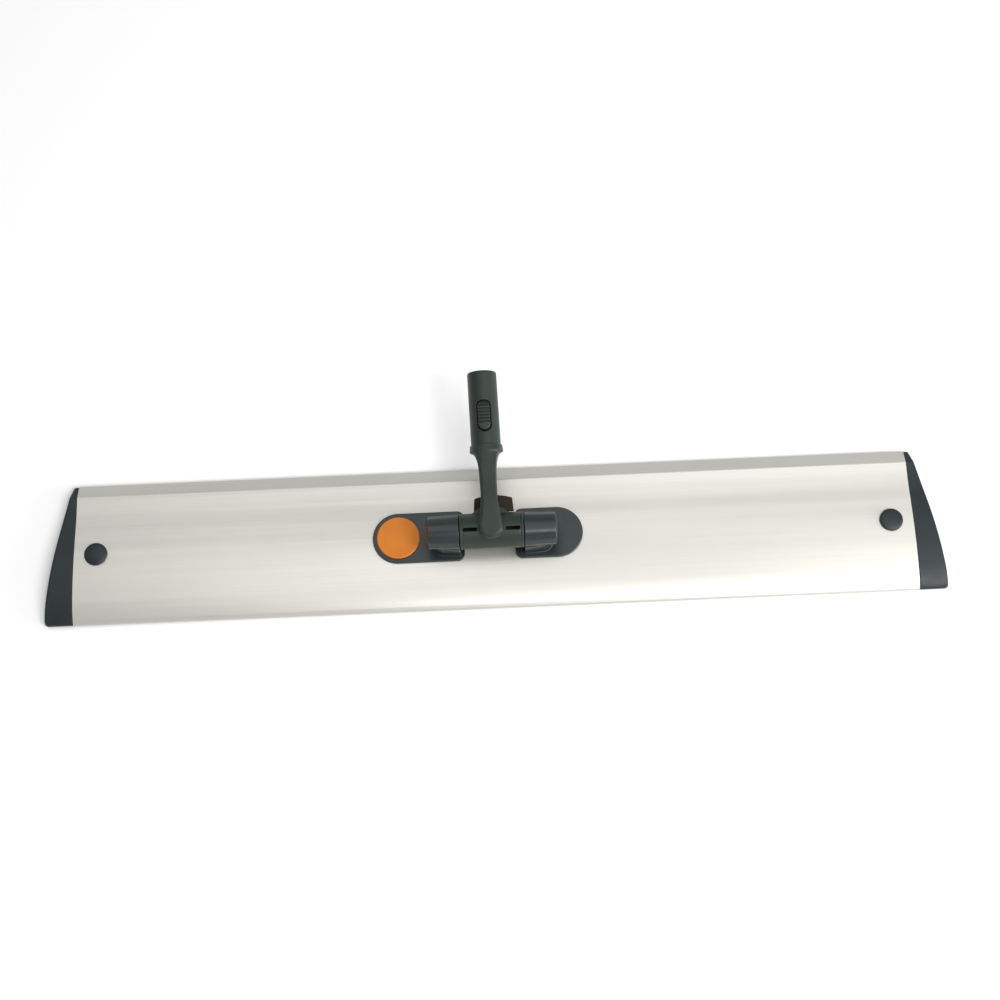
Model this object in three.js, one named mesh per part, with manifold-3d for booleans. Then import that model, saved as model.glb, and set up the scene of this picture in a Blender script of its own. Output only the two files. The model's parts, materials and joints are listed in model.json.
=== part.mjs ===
// Flat mop frame, 60 cm class: an aluminium extrusion with moulded end caps and hook strips, and a
// universal joint that carries a short handle stub with a sprung lock button.
// Millimetres. +X runs along the frame, -Y is the working front edge, +Z is up. The origin is the
// centre of the extrusion's flat underside. At rest the handle leans back over the rear edge.
import * as THREE from 'three';
import * as BufferGeometryUtils from 'three/addons/utils/BufferGeometryUtils.js';
import Module from 'manifold-3d';

const wasm = await Module();
wasm.setup();

// ---------- driving dimensions ----------
const GAP = 0.3;                    // clearance between pieces that touch
const CUT = 1;                      // how far a cutting tool runs past the face it opens
const RIM_SIDES = 40;               // facets round a large cylinder
const BORE_SIDES = 20;              // facets round a small one

const PLATE_HALF_LENGTH = 280.5;
const PLATE_HALF_DEPTH = 48.5;
const EDGE_HEIGHT = 2.6;            // thickness of the extrusion at its front and rear edges
const RIDGE_Y = 39.8;               // where the rear bevel turns over
const RIDGE_HEIGHT = 6.5;
const FLOOR = 1.8;                  // bottom wall of the extrusion
const ABOVE_PLATE = 12;             // a height clear above the extrusion's crown
const CAP_HALF_LENGTH = 300;        // over the end caps, at the front corners
const CAP_REAR_HALF_LENGTH = 284;
const CAP_BEND = [296, 1.5];        // where the tangents at the ends of the cap's outer edge meet
const CAP_CORNER = 3.5;

const STRIP_WIDTH = 24;
const STRIP_Y = 29;                 // centre of each hook strip, front and rear
const STRIP_HALF_LENGTH = 275;
const STRIP_RECESS = 0.8;
const HOOK_HEIGHT = 1.8;            // how far the hooks stand below the extrusion

const PLUG_X = 265.6;
const PLUG_Y = -1.6;
const PLUG_RADIUS = 7.7;
const PLUG_SHANK_RADIUS = 3.6;
const PLUG_SEAT = 8.95;             // underside of a plug's head, just clear of the crown
const PLUG_RISE = 2.3;
const PLUG_TIP = 2.1;

const PIVOT_Y = -2.3;               // the tilt axis lies a little in front of the centre line
const PIVOT_HEIGHT = 26.5;          // and this far above the extrusion's underside
const TUBE_RADIUS = 11.75;
const TUBE_HALF_LENGTH = 20.9;
const BARREL_INNER_RADIUS = 11.4;   // the barrels and their feet taper outwards
const BARREL_OUTER_RADIUS = 10.7;
const FOOT_INNER_HALF_DEPTH = 11.6;
const FOOT_TOP = 22.5;              // the feet run up into the barrels to this height
const FOOT_OUTER_HALF_DEPTH = 10.2;
const FOOT_CORNER = 6.5;
const BARREL_INNER_X = 21.4;
const BARREL_OUTER_X = 41.8;        // the crisp edge where a barrel's domed end begins
const BARREL_DOME = 2.4;            // how far the dome stands out past that edge
const FOOT_OUTER_X = 40;
const TRUNNION_RADIUS = 6;
const TRUNNION_END_X = 40.2;
const BUSH_WALL = 1.3;
const FLANGE_RADIUS = 17.2;
const FLANGE_TOP = 10.4;
const FLANGE_CORNER = 4.5;
const LEFT_FLANGE_CENTRE_X = -62.7;
const LEFT_FLANGE_INNER_X = -18.7;
const RIGHT_FLANGE_CENTRE_X = 43.1;
const RIGHT_FLANGE_INNER_X = 15.3;
const DISC_RADIUS = 14.3;
const DISC_THICKNESS = 1.1;
const DISC_STEM_RADIUS = 5;
const DISC_STEM_LENGTH = 1.2;
const SCREW_X = 31;
const SCREW_Y = 6.2;
const SCREW_RADIUS = 1.9;
const SCREW_TIP = 16.6;
const ACCESS_RADIUS = 4.6;          // holes in the extrusion's floor that let the screws in

const HANDLE_REST_DEG = 10;         // handle above the horizontal when it lies back on its stop
const HANDLE_TRAVEL_DEG = 160;
const SWIVEL_REST_DEG = 1.2;        // the handle lies a little to the left

const PIN_X = -0.3;                 // swivel pin, to the left of the middle of the cross tube
const PIN_RADIUS = 3;
const HUB_RADIUS = 16.5;
const HUB_HALF_THICKNESS = 5;
const PRONG_INNER = 12.1;           // fork prongs, measured along the swivel pin
const PRONG_OUTER = 15.6;
const CROTCH_RADIUS = 26.4;
const BULB_HALF_WIDTH = 8;
const BULB_HALF_LENGTH = 6.6;       // the fork's end is a little flattened
const COLLAR_START = 52.2;          // stations along the handle from the pivot
const COLLAR_END = 56.5;
const STUB_END = 105.8;
const COLLAR_RADIUS = 11.1;
const STUB_RADIUS_LOW = 9.85;
const STUB_RADIUS_HIGH = 9.75;
const STUB_BORE_RADIUS = 7.3;
const STUB_BORE_START = 60;
const BUTTON_STATION = 75.3;
const SLOT_LENGTH = 21.2;
const SLOT_WIDTH = 9.2;
const BUTTON_LENGTH = 19;
const BUTTON_WIDTH = 7.8;
const BUTTON_PROUD = 1.2;           // how far the button stands above the stub
const GROOVE_DEPTH = 1;
const GROOVE_PITCH = 2.15;

// ---------- solids ----------
const origin = new THREE.Vector3();

function solid(geometry) {
  const bare = geometry.index ? geometry.toNonIndexed() : geometry.clone();
  bare.deleteAttribute('normal');
  bare.deleteAttribute('uv');
  const merged = BufferGeometryUtils.mergeVertices(bare, 1e-4);
  return new wasm.Manifold(new wasm.Mesh({
    numProp: 3,
    vertProperties: new Float32Array(merged.attributes.position.array),
    triVerts: new Uint32Array(merged.index.array),
  }));
}

function geometryOf(manifold) {
  const mesh = manifold.getMesh();
  const geometry = new THREE.BufferGeometry();
  geometry.setAttribute('position', new THREE.BufferAttribute(mesh.vertProperties, 3));
  geometry.setIndex(new THREE.BufferAttribute(mesh.triVerts, 1));
  geometry.computeVertexNormals();
  return geometry;
}

function union(...pieces) {
  return pieces.reduce((whole, piece) => whole.add(piece));
}

// Maps the axes of a flat outline, and of its extrusion, on to the model's axes.
const PLANES = {
  xy: [[1, 0, 0], [0, 1, 0], [0, 0, 1]],
  yz: [[0, 1, 0], [0, 0, 1], [1, 0, 0]],
};

function prism(shape, plane, from, to, curveSegments = 8) {
  const geometry = new THREE.ExtrudeGeometry(shape, {
    depth: to - from,
    bevelEnabled: false,
    curveSegments,
  });
  geometry.translate(0, 0, from);
  const [u, v, w] = PLANES[plane].map((axis) => new THREE.Vector3(...axis));
  geometry.applyMatrix4(new THREE.Matrix4().makeBasis(u, v, w));
  return solid(geometry);
}

function box(x0, x1, y0, y1, z0, z1) {
  const geometry = new THREE.BoxGeometry(x1 - x0, y1 - y0, z1 - z0);
  geometry.translate((x0 + x1) / 2, (y0 + y1) / 2, (z0 + z1) / 2);
  return solid(geometry);
}

const TURN_TO = {
  x: (geometry) => geometry.rotateZ(-Math.PI / 2),
  y: (geometry) => geometry,
  z: (geometry) => geometry.rotateX(Math.PI / 2),
};

// A solid of revolution. The profile is a list of (radius, station along the axis) pairs.
function turned(axis, profile, at = origin, sides = RIM_SIDES) {
  const points = profile.map(([radius, station]) => new THREE.Vector2(radius, station));
  const geometry = TURN_TO[axis](new THREE.LatheGeometry(points, sides));
  geometry.translate(at.x, at.y, at.z);
  return solid(geometry);
}

function rod(axis, radius, from, to, at = origin, sides = RIM_SIDES) {
  return turned(axis, [[0, from], [radius, from], [radius, to], [0, to]], at, sides);
}

function tube(axis, outer, inner, from, to, at = origin, sides = RIM_SIDES) {
  const profile = [[inner, from], [outer, from], [outer, to], [inner, to], [inner, from]];
  return turned(axis, profile, at, sides);
}

function roundedRectangle(x0, x1, y0, y1, radius) {
  const shape = new THREE.Shape();
  shape.moveTo(x0 + radius, y0);
  shape.lineTo(x1 - radius, y0);
  shape.absarc(x1 - radius, y0 + radius, radius, -Math.PI / 2, 0);
  shape.lineTo(x1, y1 - radius);
  shape.absarc(x1 - radius, y1 - radius, radius, 0, Math.PI / 2);
  shape.lineTo(x0 + radius, y1);
  shape.absarc(x0 + radius, y1 - radius, radius, Math.PI / 2, Math.PI);
  shape.lineTo(x0, y0 + radius);
  shape.absarc(x0 + radius, y0 + radius, radius, Math.PI, 1.5 * Math.PI);
  return shape;
}

// ---------- materials ----------
function material(colour, roughness, metalness) {
  return new THREE.MeshStandardMaterial({ color: colour, roughness, metalness });
}

const anodisedAluminium = () => material(0xd8d6cb, 0.38, 0.85);
const greyPlastic = () => material(0x404844, 0.5, 0);
const darkPlastic = () => material(0x363d3d, 0.45, 0);
const brownPlastic = () => material(0x3a342e, 0.55, 0);
const orangePlastic = () => material(0xd8873f, 0.5, 0);
const hookNylon = () => material(0x8c8f90, 0.9, 0);
const bearingPlastic = () => material(0xe6e4dc, 0.4, 0);
const brightSteel = () => material(0xb4b7ba, 0.3, 1);

function part(name, manifold, surface) {
  const mesh = new THREE.Mesh(geometryOf(manifold), surface);
  mesh.name = name;
  return mesh;
}

// ---------- aluminium extrusion ----------
// The outer profile in Y and Z: thin edges, a rear bevel that turns over at the ridge, a shallow
// scoop behind the joint, and a broad crown that rolls down to the front edge.
function extrusionProfile() {
  const shape = new THREE.Shape();
  shape.moveTo(-PLATE_HALF_DEPTH, 0);
  shape.lineTo(PLATE_HALF_DEPTH, 0);
  shape.lineTo(PLATE_HALF_DEPTH, EDGE_HEIGHT);
  shape.lineTo(RIDGE_Y + 0.6, RIDGE_HEIGHT - 0.2);
  shape.quadraticCurveTo(RIDGE_Y, RIDGE_HEIGHT + 0.1, RIDGE_Y - 1, RIDGE_HEIGHT + 0.1);
  shape.splineThru([
    new THREE.Vector2(30, 6.3),
    new THREE.Vector2(22, 6.5),
    new THREE.Vector2(12, 7.4),
    new THREE.Vector2(-2, 8.4),
    new THREE.Vector2(-14, 8.6),
    new THREE.Vector2(-26, 8),
    new THREE.Vector2(-38, 6.4),
    new THREE.Vector2(-PLATE_HALF_DEPTH + 0.6, EDGE_HEIGHT + 0.3),
  ]);
  shape.lineTo(-PLATE_HALF_DEPTH, EDGE_HEIGHT - 0.3);
  shape.closePath();
  return shape;
}

// Three hollow chambers run the length of the extrusion; each is a flat floor under a sloping roof.
const CHAMBERS = {
  front: [[-45, 2.1], [-45, 2.4], [-38, 4.7], [-28, 6.1], [-24.5, 6.3]],
  middle: [[-22.5, 6.5], [-14, 6.9], [-2, 6.7], [12, 5.7], [18.5, 5.1]],
  rear: [[20.5, 4.9], [30, 4.6], [37, 4.8], [42.5, 3.1], [43.5, 2.4]],
};

function chamberShape(roof) {
  const shape = new THREE.Shape();
  shape.moveTo(roof[0][0], FLOOR);
  shape.lineTo(roof.at(-1)[0], FLOOR);
  for (const [y, z] of roof.toReversed()) {
    shape.lineTo(y, z);
  }
  shape.closePath();
  return shape;
}

function extrusionBlock(from, to) {
  return prism(extrusionProfile(), 'yz', from, to, 3);
}

function screwPlace(side, row) {
  return new THREE.Vector3(side * SCREW_X, PIVOT_Y + row * SCREW_Y, 0);
}

function plateExtrusion() {
  let plate = extrusionBlock(-PLATE_HALF_LENGTH, PLATE_HALF_LENGTH);
  const past = PLATE_HALF_LENGTH + CUT;
  for (const roof of Object.values(CHAMBERS)) {
    plate = plate.subtract(prism(chamberShape(roof), 'yz', -past, past));
  }
  const halfStrip = STRIP_WIDTH / 2 + GAP;
  for (const side of [-1, 1]) {
    const middle = side * STRIP_Y;
    plate = plate.subtract(
      box(-past, past, middle - halfStrip, middle + halfStrip, -CUT, STRIP_RECESS),
    );
    const plugAt = new THREE.Vector3(side * PLUG_X, PLUG_Y, 0);
    const plugHole = PLUG_SHANK_RADIUS + GAP;
    plate = plate.subtract(rod('z', plugHole, FLOOR + CUT, ABOVE_PLATE, plugAt, BORE_SIDES));
    for (const row of [-1, 1]) {
      const screwAt = screwPlace(side, row);
      plate = plate.subtract(rod('z', ACCESS_RADIUS, -CUT, FLOOR + CUT, screwAt, BORE_SIDES));
      plate = plate.subtract(
        rod('z', SCREW_RADIUS + GAP, FLOOR, ABOVE_PLATE, screwAt, BORE_SIDES),
      );
    }
  }
  return plate;
}

// ---------- end caps, plugs and hook strips ----------
// The plan of the right-hand cap: its outer edge is a long shallow arc that reaches furthest out
// at the front corner.
function capPlan() {
  const shape = new THREE.Shape();
  const inner = PLATE_HALF_LENGTH + GAP;
  shape.moveTo(inner, -PLATE_HALF_DEPTH);
  shape.lineTo(CAP_HALF_LENGTH - CAP_CORNER, -PLATE_HALF_DEPTH);
  shape.quadraticCurveTo(
    CAP_HALF_LENGTH, -PLATE_HALF_DEPTH,
    CAP_HALF_LENGTH, -PLATE_HALF_DEPTH + CAP_CORNER,
  );
  shape.quadraticCurveTo(...CAP_BEND, CAP_REAR_HALF_LENGTH, PLATE_HALF_DEPTH - 0.5);
  shape.lineTo(CAP_REAR_HALF_LENGTH - 0.6, PLATE_HALF_DEPTH + CUT);
  shape.lineTo(inner, PLATE_HALF_DEPTH + CUT);
  shape.closePath();
  return shape;
}

const CAP_TONGUES = [
  { y: [-41, -27], z: [FLOOR + GAP, 3.4], length: 26 },
  { y: [-20.5, 11], z: [FLOOR + GAP, 5.2], length: 32 },
  { y: [22.5, 36], z: [FLOOR + GAP, 4.2], length: 26 },
];

function endCap(side) {
  const inner = PLATE_HALF_LENGTH + GAP;
  let cap = extrusionBlock(inner, CAP_HALF_LENGTH).intersect(
    prism(capPlan(), 'xy', -CUT, ABOVE_PLATE, 10),
  );
  for (const { y, z, length } of CAP_TONGUES) {
    cap = cap.add(box(inner - length, inner + 2, y[0], y[1], z[0], z[1]));
  }
  const plugAt = new THREE.Vector3(PLUG_X, PLUG_Y, 0);
  cap = cap.subtract(rod('z', PLUG_SHANK_RADIUS + GAP, 0, ABOVE_PLATE, plugAt, BORE_SIDES));
  return side > 0 ? cap : cap.mirror([1, 0, 0]);
}

// A push-in plug: a low domed head on the extrusion and a shank that pins the cap's middle tongue.
function capPlug(side) {
  const head = new THREE.Path();
  const top = PLUG_SEAT + PLUG_RISE;
  head.moveTo(0, top);
  head.quadraticCurveTo(PLUG_RADIUS * 0.9, top, PLUG_RADIUS, PLUG_SEAT + 0.5);
  const profile = head.getPoints(6).map((point) => [point.x, point.y]);
  profile.push([PLUG_RADIUS, PLUG_SEAT], [PLUG_SHANK_RADIUS, PLUG_SEAT]);
  profile.push([PLUG_SHANK_RADIUS, PLUG_TIP + 0.5], [PLUG_SHANK_RADIUS - 0.8, PLUG_TIP]);
  profile.push([0, PLUG_TIP]);
  return turned('z', profile.reverse(), new THREE.Vector3(side * PLUG_X, PLUG_Y, 0), BORE_SIDES);
}

function hookStrip(side) {
  const middle = side * STRIP_Y;
  const half = STRIP_WIDTH / 2;
  const top = STRIP_RECESS - GAP;
  const end = STRIP_HALF_LENGTH;
  return box(-end, end, middle - half, middle + half, -HOOK_HEIGHT, top);
}

// ---------- brackets ----------
function flangePlan(centreX, innerX) {
  const outward = Math.sign(centreX);
  const corner = FLANGE_CORNER;
  const shape = new THREE.Shape();
  shape.moveTo(innerX + outward * corner, -FLANGE_RADIUS);
  shape.lineTo(centreX, -FLANGE_RADIUS);
  shape.absarc(centreX, 0, FLANGE_RADIUS, -Math.PI / 2, Math.PI / 2, outward < 0);
  shape.lineTo(innerX + outward * corner, FLANGE_RADIUS);
  shape.quadraticCurveTo(innerX, FLANGE_RADIUS, innerX, FLANGE_RADIUS - corner);
  shape.lineTo(innerX, -FLANGE_RADIUS + corner);
  shape.quadraticCurveTo(innerX, -FLANGE_RADIUS, innerX + outward * corner, -FLANGE_RADIUS);
  return shape;
}

// The foot under a barrel: square at its inner end, tapered, and rounded in plan at its outer end.
function footPlan(side) {
  const outer = FOOT_OUTER_X;
  const near = FOOT_INNER_HALF_DEPTH;
  const far = FOOT_OUTER_HALF_DEPTH;
  const shape = new THREE.Shape();
  shape.moveTo(side * BARREL_INNER_X, -near);
  shape.lineTo(side * (outer - FOOT_CORNER), -far);
  shape.quadraticCurveTo(side * outer, -far, side * outer, -far + FOOT_CORNER);
  shape.lineTo(side * outer, far - FOOT_CORNER);
  shape.quadraticCurveTo(side * outer, far, side * (outer - FOOT_CORNER), far);
  shape.lineTo(side * BARREL_INNER_X, near);
  shape.closePath();
  return shape;
}

// Room for the trunnion's stop lug: open over the lug's travel, with a solid block left below it.
const LOW_IN_PLATE = 5;            // brackets are drawn down to here, then cut to the crown
const BRACKET_REACH = 100;         // longer than either bracket
const LUG_RADIUS = 7.4;
const LUG_HALF_ANGLE_DEG = 18;
const LUG_FROM_X = 37.6;

function pie(radius, fromDeg, toDeg, x0, x1) {
  const from = THREE.MathUtils.degToRad(fromDeg);
  const to = THREE.MathUtils.degToRad(toDeg);
  const shape = new THREE.Shape();
  shape.moveTo(0, 0);
  shape.lineTo(radius * Math.cos(from), radius * Math.sin(from));
  shape.absarc(0, 0, radius, from, to, false);
  shape.closePath();
  return prism(shape, 'yz', x0, x1, 24);
}

function bracket(side, centreX, innerX) {
  const axisAt = new THREE.Vector3(0, PIVOT_Y, PIVOT_HEIGHT);
  const ends = (a, b) => [side * a, side * b].sort((p, q) => p - q);
  const edge = 0.5;
  const profile = [
    [0, BARREL_INNER_X], [BARREL_INNER_RADIUS - edge, BARREL_INNER_X],
    [BARREL_INNER_RADIUS, BARREL_INNER_X + edge], [BARREL_OUTER_RADIUS, BARREL_OUTER_X - 0.3],
  ];
  for (const share of [0.97, 0.8, 0.6, 0.35, 0]) {
    profile.push([BARREL_OUTER_RADIUS * share, BARREL_OUTER_X + BARREL_DOME * (1 - share ** 2)]);
  }
  const placed = side > 0 ? profile : profile.map(([r, x]) => [r, -x]).reverse();
  const barrel = turned('x', placed, axisAt);
  const foot = prism(footPlan(side), 'xy', LOW_IN_PLATE, FOOT_TOP, 6)
    .translate([0, PIVOT_Y, 0]);
  const flange = prism(flangePlan(centreX, innerX), 'xy', LOW_IN_PLATE, FLANGE_TOP, 16);
  let body = union(barrel, foot, flange);
  const under = extrusionBlock(...ends(0, BRACKET_REACH));
  body = body.subtract(under).subtract(under.translate([0, 0, GAP]));

  const boreRadius = TRUNNION_RADIUS + GAP + BUSH_WALL + GAP;
  const boreEnds = ends(BARREL_INNER_X - CUT, LUG_FROM_X - GAP);
  body = body.subtract(rod('x', boreRadius, ...boreEnds, axisAt));
  const trunnionEnds = ends(BARREL_INNER_X, TRUNNION_END_X + GAP);
  body = body.subtract(rod('x', TRUNNION_RADIUS + GAP, ...trunnionEnds, axisAt));
  const clear = 2.5;
  const firstEdge = HANDLE_REST_DEG - LUG_HALF_ANGLE_DEG - clear;
  const lastEdge = HANDLE_REST_DEG + HANDLE_TRAVEL_DEG + LUG_HALF_ANGLE_DEG + clear;
  const lugEnds = ends(LUG_FROM_X - 1.5 * GAP, TRUNNION_END_X + GAP);
  const lugRoom = pie(LUG_RADIUS + GAP, firstEdge, lastEdge, ...lugEnds);
  body = body.subtract(lugRoom.translate([0, PIVOT_Y, PIVOT_HEIGHT]));

  for (const row of [-1, 1]) {
    const hole = rod(
      'z', SCREW_RADIUS + GAP, LOW_IN_PLATE, SCREW_TIP + GAP, screwPlace(side, row), BORE_SIDES,
    );
    body = body.subtract(hole);
  }
  if (side < 0) {
    const discAt = new THREE.Vector3(LEFT_FLANGE_CENTRE_X, 0, 0);
    const hole = DISC_STEM_RADIUS + GAP;
    body = body.subtract(rod('z', hole, LOW_IN_PLATE, FLANGE_TOP + CUT, discAt, BORE_SIDES));
  }
  return body;
}

function colourDisc() {
  const base = FLANGE_TOP + GAP;
  const top = base + DISC_THICKNESS;
  const profile = [
    [0, FLANGE_TOP - DISC_STEM_LENGTH], [DISC_STEM_RADIUS, FLANGE_TOP - DISC_STEM_LENGTH],
    [DISC_STEM_RADIUS, base], [DISC_RADIUS, base], [DISC_RADIUS, top - 0.5],
    [DISC_RADIUS - 0.5, top], [0, top],
  ];
  return turned('z', profile, new THREE.Vector3(LEFT_FLANGE_CENTRE_X, 0, 0));
}

// A pan-head screw, driven up from inside the middle chamber.
function bracketScrew(side, row) {
  const at = screwPlace(side, row);
  const headTop = row > 0 ? 5.5 : 6.4;
  const profile = [
    [0, headTop - 2.6], [3, headTop - 2.6], [3.7, headTop - 1.9], [3.7, headTop],
    [SCREW_RADIUS, headTop], [SCREW_RADIUS, SCREW_TIP - 0.8],
    [SCREW_RADIUS - 0.9, SCREW_TIP], [0, SCREW_TIP],
  ];
  const drive = box(-0.5, 0.5, -2, 2, headTop - 4, headTop - 1.4);
  const cross = box(-2, 2, -0.5, 0.5, headTop - 4, headTop - 1.4);
  return turned('z', profile, at, 24).subtract(drive.add(cross).translate([at.x, at.y, 0]));
}

function bearingBush(side) {
  const inner = TRUNNION_RADIUS + GAP;
  const from = side * (BARREL_INNER_X + 0.2);
  const to = side * (LUG_FROM_X - GAP - 0.2);
  const at = new THREE.Vector3(0, PIVOT_Y, PIVOT_HEIGHT);
  return tube('x', inner + BUSH_WALL, inner, Math.min(from, to), Math.max(from, to), at);
}

// ---------- cross tube, tongue and swivel pin ----------
// From here on pieces are drawn about the pivot: X along the tilt axis, Y along the handle and Z
// along the swivel pin. The cross tube is centred on X = 0; the pin stands at PIN_X.
const WASHER_SEAT = 10.4;
const WASHER_THICKNESS = 1;
const WASHER_RADIUS = 6;
const TONGUE_HALF_THICKNESS = 1.4;
const TONGUE_EYE_RADIUS = 6.2;
const STEM_HALF_WIDTH = 4;
const WINDOW_NEAR_X = 9.4;         // snap windows on the parting line, either side of the handle
const WINDOW_FAR_X = 18.5;
const WINDOW_HALF_HEIGHT = 1.1;
const WINDOW_FLOOR = 7;
const LIP_OFFSET = 2.1;            // the lip reaches further out on the right of the pin
const pinAt = new THREE.Vector3(PIN_X, 0, 0);

function lug(side) {
  const ends = [side * LUG_FROM_X, side * TRUNNION_END_X].sort((p, q) => p - q);
  return pie(LUG_RADIUS, -LUG_HALF_ANGLE_DEG, LUG_HALF_ANGLE_DEG, ...ends);
}

function crossTube() {
  const end = TUBE_HALF_LENGTH;
  const rim = 0.4;
  let cross = turned('x', [
    [0, -end], [TUBE_RADIUS - rim, -end], [TUBE_RADIUS, rim - end],
    [TUBE_RADIUS, end - rim], [TUBE_RADIUS - rim, end], [0, end],
  ]);
  cross = cross.add(rod('x', TRUNNION_RADIUS, -TRUNNION_END_X, TRUNNION_END_X));
  cross = union(cross, lug(-1), lug(1));
  const hub = rod('z', HUB_RADIUS, -HUB_HALF_THICKNESS, HUB_HALF_THICKNESS, pinAt);
  const around = HUB_RADIUS + CUT;
  const behind = box(-around, around, 0, around, -HUB_HALF_THICKNESS - CUT, HUB_HALF_THICKNESS + CUT);
  cross = cross.add(hub.intersect(behind));

  const past = TUBE_RADIUS + CUT;
  cross = cross.subtract(rod('z', PIN_RADIUS + GAP, -past, past, pinAt, BORE_SIDES));
  const eyeHalf = TONGUE_HALF_THICKNESS + GAP;
  cross = cross.subtract(rod('z', TONGUE_EYE_RADIUS + GAP, -eyeHalf, eyeHalf, pinAt));
  const slotHalf = STEM_HALF_WIDTH + GAP;
  cross = cross.subtract(
    box(PIN_X - slotHalf, PIN_X + slotHalf, 0, HUB_RADIUS + CUT, -eyeHalf, eyeHalf),
  );
  for (const face of [-1, 1]) {
    const [from, to] = [face * WASHER_SEAT, face * past].sort((p, q) => p - q);
    cross = cross.subtract(rod('z', WASHER_RADIUS + GAP, from, to, pinAt));
    const [low, high] = [face * WINDOW_FLOOR, face * past].sort((p, q) => p - q);
    for (const side of [-1, 1]) {
      const [left, right] = [side * WINDOW_NEAR_X, side * WINDOW_FAR_X].sort((p, q) => p - q);
      cross = cross.subtract(
        box(left, right, -WINDOW_HALF_HEIGHT, WINDOW_HALF_HEIGHT, low, high),
      );
    }
  }
  return cross;
}

function crossTubeHalf(side) {
  const past = TRUNNION_END_X + CUT;
  const far = HUB_RADIUS + CUT;
  const [from, to] = [side * GAP / 2, side * far].sort((p, q) => p - q);
  return crossTube().intersect(box(-past, past, from, to, -far, far));
}

function swivelWasher(side) {
  const from = side * (WASHER_SEAT + GAP);
  const to = side * (WASHER_SEAT + GAP + WASHER_THICKNESS);
  const inner = PIN_RADIUS + GAP;
  return tube('z', WASHER_RADIUS, inner, Math.min(from, to), Math.max(from, to), pinAt, BORE_SIDES);
}

// Pressed in from below: the head sinks in the lower prong and the tip stops short of the upper
// prong's outer face.
const PIN_TIP = 13.6;
const PIN_HEAD_RADIUS = 4.8;
const PIN_HEAD_FACE = -15.2;
const PIN_HEAD_SEAT = -13.6;

function swivelPin() {
  return turned('z', [
    [0, PIN_HEAD_FACE], [PIN_HEAD_RADIUS - 0.5, PIN_HEAD_FACE],
    [PIN_HEAD_RADIUS, PIN_HEAD_FACE + 0.5], [PIN_HEAD_RADIUS, PIN_HEAD_SEAT],
    [PIN_RADIUS, PIN_HEAD_SEAT], [PIN_RADIUS, PIN_TIP - 0.6], [PIN_RADIUS - 0.6, PIN_TIP],
    [0, PIN_TIP],
  ], origin, BORE_SIDES);
}

// The brown tongue: a broad lip behind the hub, with a stem that runs in to an eye round the pin.
// It is drawn about the pin and clamped between the two halves of the cross tube.
function stopTongue() {
  const middle = LIP_OFFSET;
  const lip = new THREE.Shape();
  lip.moveTo(middle - 13.1, 12.3);
  lip.lineTo(middle + 13.1, 12.3);
  lip.lineTo(middle + 12.6, 20.6);
  lip.quadraticCurveTo(middle + 12.5, 21.4, middle + 11.9, 21.6);
  lip.quadraticCurveTo(middle, 25, middle - 11.9, 21.6);
  lip.quadraticCurveTo(middle - 12.5, 21.4, middle - 12.6, 20.6);
  lip.closePath();
  const half = TONGUE_HALF_THICKNESS;
  const stem = box(-STEM_HALF_WIDTH, STEM_HALF_WIDTH, 4, HUB_RADIUS + 2, -half, half);
  return prism(lip, 'xy', -half, half, 10)
    .subtract(rod('z', HUB_RADIUS + GAP, -CUT - half, CUT + half))
    .add(stem)
    .add(rod('z', TONGUE_EYE_RADIUS, -half, half, origin, BORE_SIDES))
    .subtract(rod('z', PIN_RADIUS + GAP, -CUT - half, CUT + half, origin, BORE_SIDES))
    .translate([PIN_X, 0, 0]);
}

// ---------- handle stub and button ----------
// The fork's plan: an oval bulb about the pin, a waisted neck, and a flare into the collar.
function forkPlan() {
  const startAngle = 0.13;
  const collarReach = 9.6;
  const shape = new THREE.Shape();
  shape.absellipse(
    0, 0, BULB_HALF_WIDTH, BULB_HALF_LENGTH, Math.PI - startAngle, 2 * Math.PI + startAngle, false,
  );
  const neck = [
    [7.3, 6.5], [6.3, 12.5], [5.6, 18], [5.4, 24.5], [5.5, 31], [5.7, 37.7], [6.2, 43], [7.4, 47.6],
  ];
  shape.splineThru(neck.map(([x, y]) => new THREE.Vector2(x, y)));
  shape.lineTo(collarReach, COLLAR_START - 1);
  shape.lineTo(collarReach, COLLAR_START + 1);
  shape.lineTo(-collarReach, COLLAR_START + 1);
  shape.lineTo(-collarReach, COLLAR_START - 1);
  const back = neck.toReversed().map(([x, y]) => new THREE.Vector2(-x, y));
  shape.lineTo(back[0].x, back[0].y);
  const join = new THREE.Vector2(
    -BULB_HALF_WIDTH * Math.cos(startAngle), BULB_HALF_LENGTH * Math.sin(startAngle),
  );
  shape.splineThru([...back.slice(1), join]);
  return shape;
}

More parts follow.
